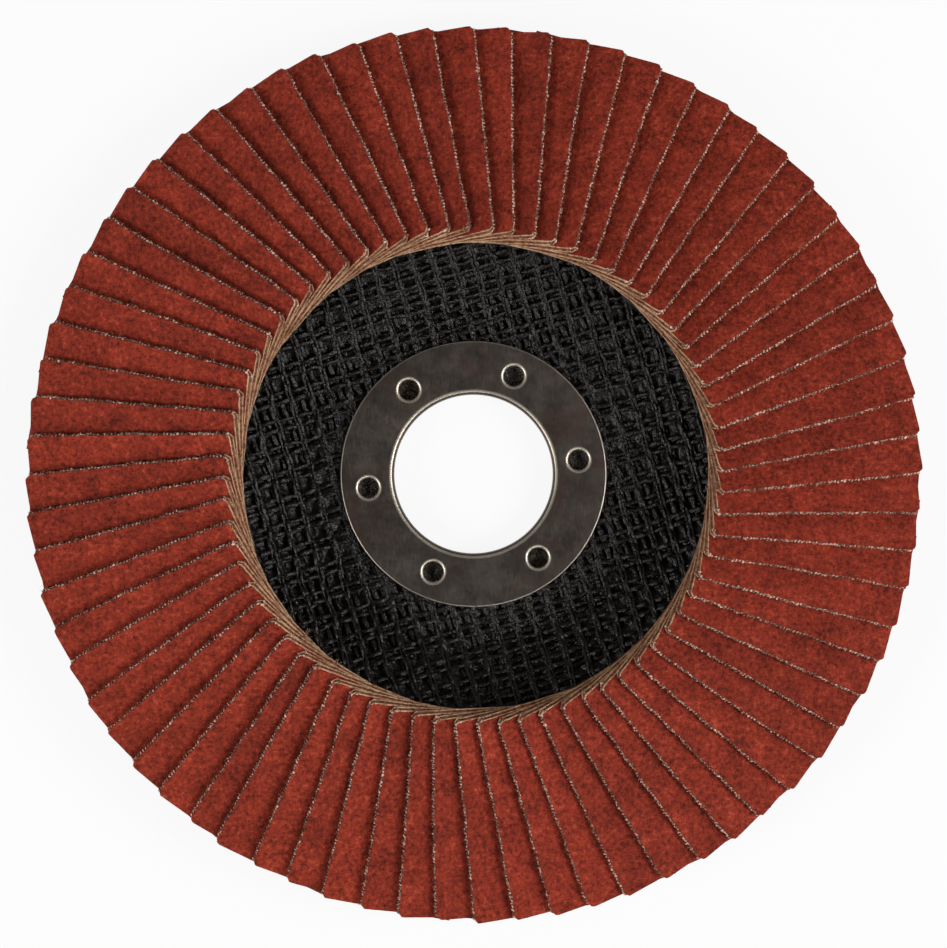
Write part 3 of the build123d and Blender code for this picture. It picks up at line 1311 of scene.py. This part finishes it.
@dataclass
class BackingPlate:
    """The moulded plate: a resin dish with two layers of glass mesh in its face."""

    hole_radius: float = 11.865 * MM
    hole_bevel: float = 0.4 * MM
    seat_bevel: float = 0.35 * MM
    hub_back_radius: float = 21.0 * MM
    hub_radius: float = 23.6 * MM
    hub_height: float = 3.0 * MM
    ring_seat_radius: float = 18.0 * MM
    crest_radius: float = 32.3 * MM
    crest_height: float = 6.6 * MM
    thickness: float = 2.0 * MM
    rim_round: float = 0.4 * MM
    sink: float = 0.6 * MM
    profile_step: float = 1.2 * MM
    round_parts: int = 240
    sharp_angle: float = math.radians(40)
    weave_angle: float = math.radians(16)
    warp_pitch: float = 2.7 * MM
    weft_pitch: float = 3.5 * MM
    warp_spread: float = 0.21 * MM
    weft_spread: float = 0.6 * MM
    under_shift: float = 0.45
    under_turn: float = math.radians(5)
    sockets: SocketCircle = SocketCircle()
    pocket_radius: float = 1.8 * MM
    pocket_depth: float = 1.55 * MM
    pocket_sides: int = 40

    def build(self) -> None:
        """Makes the plate's body and its weave."""
        warp_angle = self.weave_angle + math.pi / 2
        warp = GlassLaminate("laminate_warp", warp_angle).make()
        weft = GlassLaminate("laminate_weft", self.weave_angle).make()
        pitches = (self.warp_pitch, self.weft_pitch)
        pressed = GlassLaminate("laminate_pressed", self.weave_angle, pressed_weave=pitches).make()
        body = self.with_pockets(self.body_mesh(pressed))
        put_in_scene("plate_body", body, Slot.LAMINATE, "backing_plate")
        wall_rise = self.crest_height - self.hub_height
        sizes = {
            "Threads": 25,
            "Pitch": self.warp_pitch,
            "Shift": 0.0,
            "Reach": self.crest_radius + MM,
            "Step": 0.36 * MM,
            "Radius": 0.3 * MM,
            "Sides": 7,
            "Flatness": 0.7,
            "Level": 0.02 * MM,
            "Lumps": 1.0 * MM,
            "Crimp length": 3.5 * MM,
            "Crimp height": 0.15 * MM,
            "Crimp phase": 0.0,
            "Stray": 1.1 * MM,
            "Angle": warp_angle,
            "Inner radius": 18.2 * MM,
            "Outer radius": 32.7 * MM,
            "Hub radius": self.hub_radius,
            "Hub height": self.hub_height,
            "Wall rise": wall_rise,
            "Wall slope": wall_rise / (self.crest_radius - self.hub_radius),
            "Seed": 3,
        }
        tree = WeaveGrowth("laminate_weave", sizes, takes_mesh=False).make()
        layers = (
            ("warp_left", warp, {"Shift": -self.warp_spread}),
            ("warp_right", warp, {"Shift": self.warp_spread, "Crimp phase": math.pi}),
            ("weft_near", weft, self.weft(self.weft_spread)),
            ("weft_far", weft, self.weft(-self.weft_spread)),
            ("under_warp", warp, self.under(math.pi / 2, self.warp_pitch)),
            ("under_weft", weft, self.under(0.0, self.weft_pitch)),
        )
        for name, material, changes in layers:
            mesh = tree.bake("plate_" + name, mesh_of("seed", np.zeros((1, 3)), []), material, **changes)
            put_in_scene("plate_" + name, mesh, Slot.LAMINATE)

    def weft(self, shift: float) -> dict[str, float]:
        """What differs in one thread of each weft pair."""
        return {
            "Threads": 19,
            "Pitch": self.weft_pitch,
            "Shift": shift,
            "Radius": 0.34 * MM,
            "Level": -0.02 * MM,
            "Crimp length": self.warp_pitch,
            "Crimp height": 0.24 * MM,
            "Crimp phase": math.pi,
            "Stray": 0.9 * MM,
            "Angle": self.weave_angle,
            "Seed": 11,
        }

    def under(self, turn: float, pitch: float) -> dict[str, float]:
        """What differs in the threads of the lower mesh."""
        return {
            "Threads": int(2 * self.crest_radius / pitch) + 1,
            "Pitch": pitch,
            "Shift": pitch * self.under_shift,
            "Step": 0.6 * MM,
            "Radius": 0.45 * MM,
            "Sides": 6,
            "Flatness": 0.5,
            "Level": -0.42 * MM,
            "Stray": 1.2 * MM,
            "Angle": self.weave_angle + turn + self.under_turn,
            "Seed": 23,
        }

    def with_pockets(self, body: bpy.types.Mesh) -> bpy.types.Mesh:
        """The body with the pockets that the ring's sockets press into it."""
        circle, sides, radius = self.sockets, self.pocket_sides, self.pocket_radius
        points, faces = [], []
        for pocket in range(circle.count):
            turn = circle.first + pocket * FULL_TURN / circle.count
            x, y = circle.radius * math.cos(turn), circle.radius * math.sin(turn)
            low = list(range(len(points), len(points) + sides))
            high = [corner + sides for corner in low]
            for height in (self.hub_height - self.pocket_depth, self.hub_height + MM):
                for side in range(sides):
                    angle = side * FULL_TURN / sides
                    points.append((x + radius * math.cos(angle), y + radius * math.sin(angle), height))
            faces.extend([low[::-1], high])
            for i in range(sides):
                j = (i + 1) % sides
                faces.append([low[i], low[j], high[j], high[i]])
        punches = in_scene("punches", mesh_of("punches", np.array(points), faces))
        blank = in_scene("blank", body)
        cut = blank.modifiers.new("pockets", "BOOLEAN")
        cut.operation = "DIFFERENCE"
        cut.solver = "EXACT"
        cut.object = punches
        made = baked("plate_body", blank)
        bpy.data.objects.remove(punches)
        return made

    def body_mesh(self, material: bpy.types.Material) -> bpy.types.Mesh:
        """The turned body of the plate, with its face sunk a little under the weave."""
        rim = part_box("backing_plate")[1][0]
        rim_front = self.rim_front(rim)
        rim_back = rim_front - self.thickness
        crest_back = self.crest_height - self.thickness
        hub_face = self.hub_height - self.sink
        crest_face = self.crest_height - self.sink
        profile = [
            (self.hole_radius, self.hole_bevel),
            (self.hole_radius + self.hole_bevel, 0.0),
            (self.hub_back_radius, 0.0),
            (self.hub_back_radius + 0.8 * MM, 0.25 * MM),
            (self.crest_radius - 0.5 * MM, crest_back - 0.2 * MM),
            (self.crest_radius + 0.8 * MM, crest_back),
            (rim - self.rim_round, rim_back + 0.05 * MM),
            (rim, rim_back + self.rim_round),
            (rim, rim_front - self.rim_round),
            (rim - self.rim_round, rim_front),
            (self.crest_radius + 0.6 * MM, self.crest_height - 0.1 * MM),
            (self.crest_radius - 0.3 * MM, crest_face - 0.15 * MM),
            (self.hub_radius + 0.8 * MM, hub_face + 0.25 * MM),
            (self.hub_radius - 0.8 * MM, hub_face),
            (self.ring_seat_radius + MM, hub_face),
            (self.ring_seat_radius, self.hub_height),
            (self.hole_radius + self.seat_bevel, self.hub_height),
            (self.hole_radius, self.hub_height - self.seat_bevel),
        ]
        fine = []
        for (r0, z0), (r1, z1) in zip(profile, profile[1:] + profile[:1]):
            parts = max(1, round(math.hypot(r1 - r0, z1 - z0) / self.profile_step))
            for part in range(parts):
                share = part / parts
                fine.append((r0 + (r1 - r0) * share, z0 + (z1 - z0) * share))
        mesh = self.revolved_mesh("plate_body", fine)
        mesh.materials.append(material)
        return smoothed(mesh, self.sharp_angle)

    def rim_front(self, rim: float) -> float:
        """Height of the land's face at the plate's rim, whose radius is given."""
        low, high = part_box("adhesive_bed")
        slope = (self.crest_height - low[2]) / (high[0] - self.crest_radius)
        return low[2] - slope * (rim - high[0])

    def revolved_mesh(self, name: str, profile: list[Span]) -> bpy.types.Mesh:
        """A closed solid of revolution.

        Args:
            name: The mesh's name.
            profile: Radius and height of the section's points, counter-clockwise with the axis at
                its left.

        Returns:
            The mesh.
        """
        parts, size = self.round_parts, len(profile)
        angles = np.linspace(0, FULL_TURN, parts, endpoint=False)
        radius, height = np.array(profile).T
        columns = [np.outer(np.cos(angles), radius), np.outer(np.sin(angles), radius)]
        columns.append(np.tile(height, (parts, 1)))
        faces = []
        for i in range(parts):
            here, there = i * size, ((i + 1) % parts) * size
            for j in range(size):
                k = (j + 1) % size
                faces.append([here + j, there + j, there + k, here + k])
        return mesh_of(name, np.stack(columns, axis=2).reshape(-1, 3), faces)


@dataclass
class CentreRing:
    """The pressed ring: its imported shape, joined and shaded smooth over the rolled lips."""

    steel: BrushedSteel = BrushedSteel()
    weld: float = 0.002 * MM
    sharp_angle: float = math.radians(32)

    def build(self) -> None:
        """Makes the ring."""
        shell = bmesh.new()
        shell.from_mesh(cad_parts["centre_ring"].data)
        bmesh.ops.remove_doubles(shell, verts=shell.verts, dist=self.weld)
        mesh = bpy.data.meshes.new("ring_steel")
        shell.to_mesh(mesh)
        shell.free()
        mesh.materials.clear()
        mesh.materials.append(self.steel.make())
        put_in_scene("ring_steel", smoothed(mesh, self.sharp_angle), Slot.STEEL, "centre_ring")


@dataclass
class AdhesiveBed:
    """The adhesive bed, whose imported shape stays."""

    resin: BedResin = BedResin()

    def build(self) -> None:
        """Gives the bed its material."""
        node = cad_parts["adhesive_bed"]
        node.data.materials.clear()
        node.data.materials.append(self.resin.make())
        log.info("adhesive_bed dressed")


@dataclass(frozen=True)
class SoftLamp:
    """A square soft lamp that looks at the disc."""

    name: str
    azimuth_degrees: float
    elevation_degrees: float
    size: float
    power: float
    distance: float = 0.9

    def add(self) -> None:
        """Puts the lamp in the scene."""
        data = bpy.data.lights.new(self.name, "AREA")
        data.shape = "SQUARE"
        data.size = self.size
        data.energy = self.power
        lamp = in_scene(self.name, data)
        turn, rise = math.radians(self.azimuth_degrees), math.radians(self.elevation_degrees)
        flat = math.cos(rise)
        toward = Vector((math.cos(turn) * flat, math.sin(turn) * flat, math.sin(rise)))
        lamp.location = toward * self.distance
        lamp.rotation_euler = toward.to_track_quat("Z", "Y").to_euler()


@dataclass
class Studio:
    """Camera, lamps, pale surroundings and floor."""

    image_width: int = 947
    scale_px_per_mm: float = 7.2
    scale_height: float = 7 * MM
    distance: float = 600 * MM
    sensor: float = 36.0
    clip_start: float = 0.01
    clip_end: float = 50
    floor_size: float = 12.0
    floor_drop: float = 0.02 * MM
    floor_tone: Colour = (0.85, 0.85, 0.85, 1)
    floor_glow: float = 0.9
    zenith: float = 0.024
    low_light: float = 0.24
    side_light: float = 0.62
    dimmed: Span = (0.4, 0.95)
    lamps: tuple[SoftLamp, ...] = (
        SoftLamp("lamp_left", 204, 36, 0.32, 3.2),
        SoftLamp("lamp_below", 285, 38, 0.3, 1.1),
        SoftLamp("lamp_right", 350, 40, 0.4, 4.6),
    )

    def build(self) -> None:
        """Sets up everything round the object."""
        self.add_camera()
        self.add_world()
        self.add_floor()
        for lamp in self.lamps:
            lamp.add()
        bpy.context.scene.view_settings.view_transform = "Standard"

    def add_camera(self) -> None:
        """A long lens straight over the disc."""
        data = bpy.data.cameras.new("camera")
        wide = self.image_width / self.scale_px_per_mm * MM
        data.sensor_fit = "HORIZONTAL"
        data.sensor_width = self.sensor
        data.lens = self.sensor * self.distance / wide
        data.clip_start = self.clip_start
        data.clip_end = self.clip_end
        camera = in_scene("camera", data)
        camera.location = (0, 0, self.scale_height + self.distance)
        bpy.context.scene.camera = camera

    def add_world(self) -> None:
        """Bright low down on both sides, and dim overhead."""
        world = bpy.data.worlds.new("studio")
        bpy.context.scene.world = world
        world.use_nodes = True
        world.node_tree.nodes.clear()
        nodes = NodeMaker(world.node_tree)
        side, _, up = nodes.split(nodes.add("ShaderNodeTexCoord").outputs["Generated"])
        around = side * side * self.side_light + self.low_light
        level = (1 - up.ramp(*self.dimmed)) * around + self.zenith
        light = nodes.add("ShaderNodeBackground", {}, {"Color": WHITE, "Strength": level})
        nodes.add("ShaderNodeOutputWorld", {}, {"Surface": light})

    def add_floor(self) -> None:
        """A white floor that keeps a soft trace of the disc's shadow."""
        half = self.floor_size / 2
        plan = ((-half, -half), (half, -half), (half, half), (-half, half))
        corners = np.array([(x, y, -self.floor_drop) for x, y in plan])
        mesh = mesh_of("floor", corners, [[0, 1, 2, 3]])
        finish = Finish("white_floor")
        nodes = finish.nodes
        matt = nodes.add("ShaderNodeBsdfDiffuse", {}, {"Color": self.floor_tone})
        glow = nodes.add("ShaderNodeEmission", {}, {"Color": WHITE, "Strength": 1.0})
        path = nodes.add("ShaderNodeLightPath")
        seen = nodes.number(path, "Is Camera Ray") + nodes.number(path, "Is Glossy Ray")
        seen = (seen + nodes.number(path, "Is Transmission Ray")).at_most(1.0)
        blend = {0: seen * self.floor_glow, 1: matt, 2: glow}
        mesh.materials.append(finish.ended(nodes.add("ShaderNodeMixShader", {}, blend)))
        floor = in_scene("floor", mesh)


def main() -> None:
    """Builds the disc and its surroundings."""
    logging.basicConfig(level=logging.INFO, format="%(message)s")
    for part in (Studio(), BackingPlate(), CentreRing(), AdhesiveBed(), FlapRing()):
        part.build()


if __name__ == "__main__":
    main()
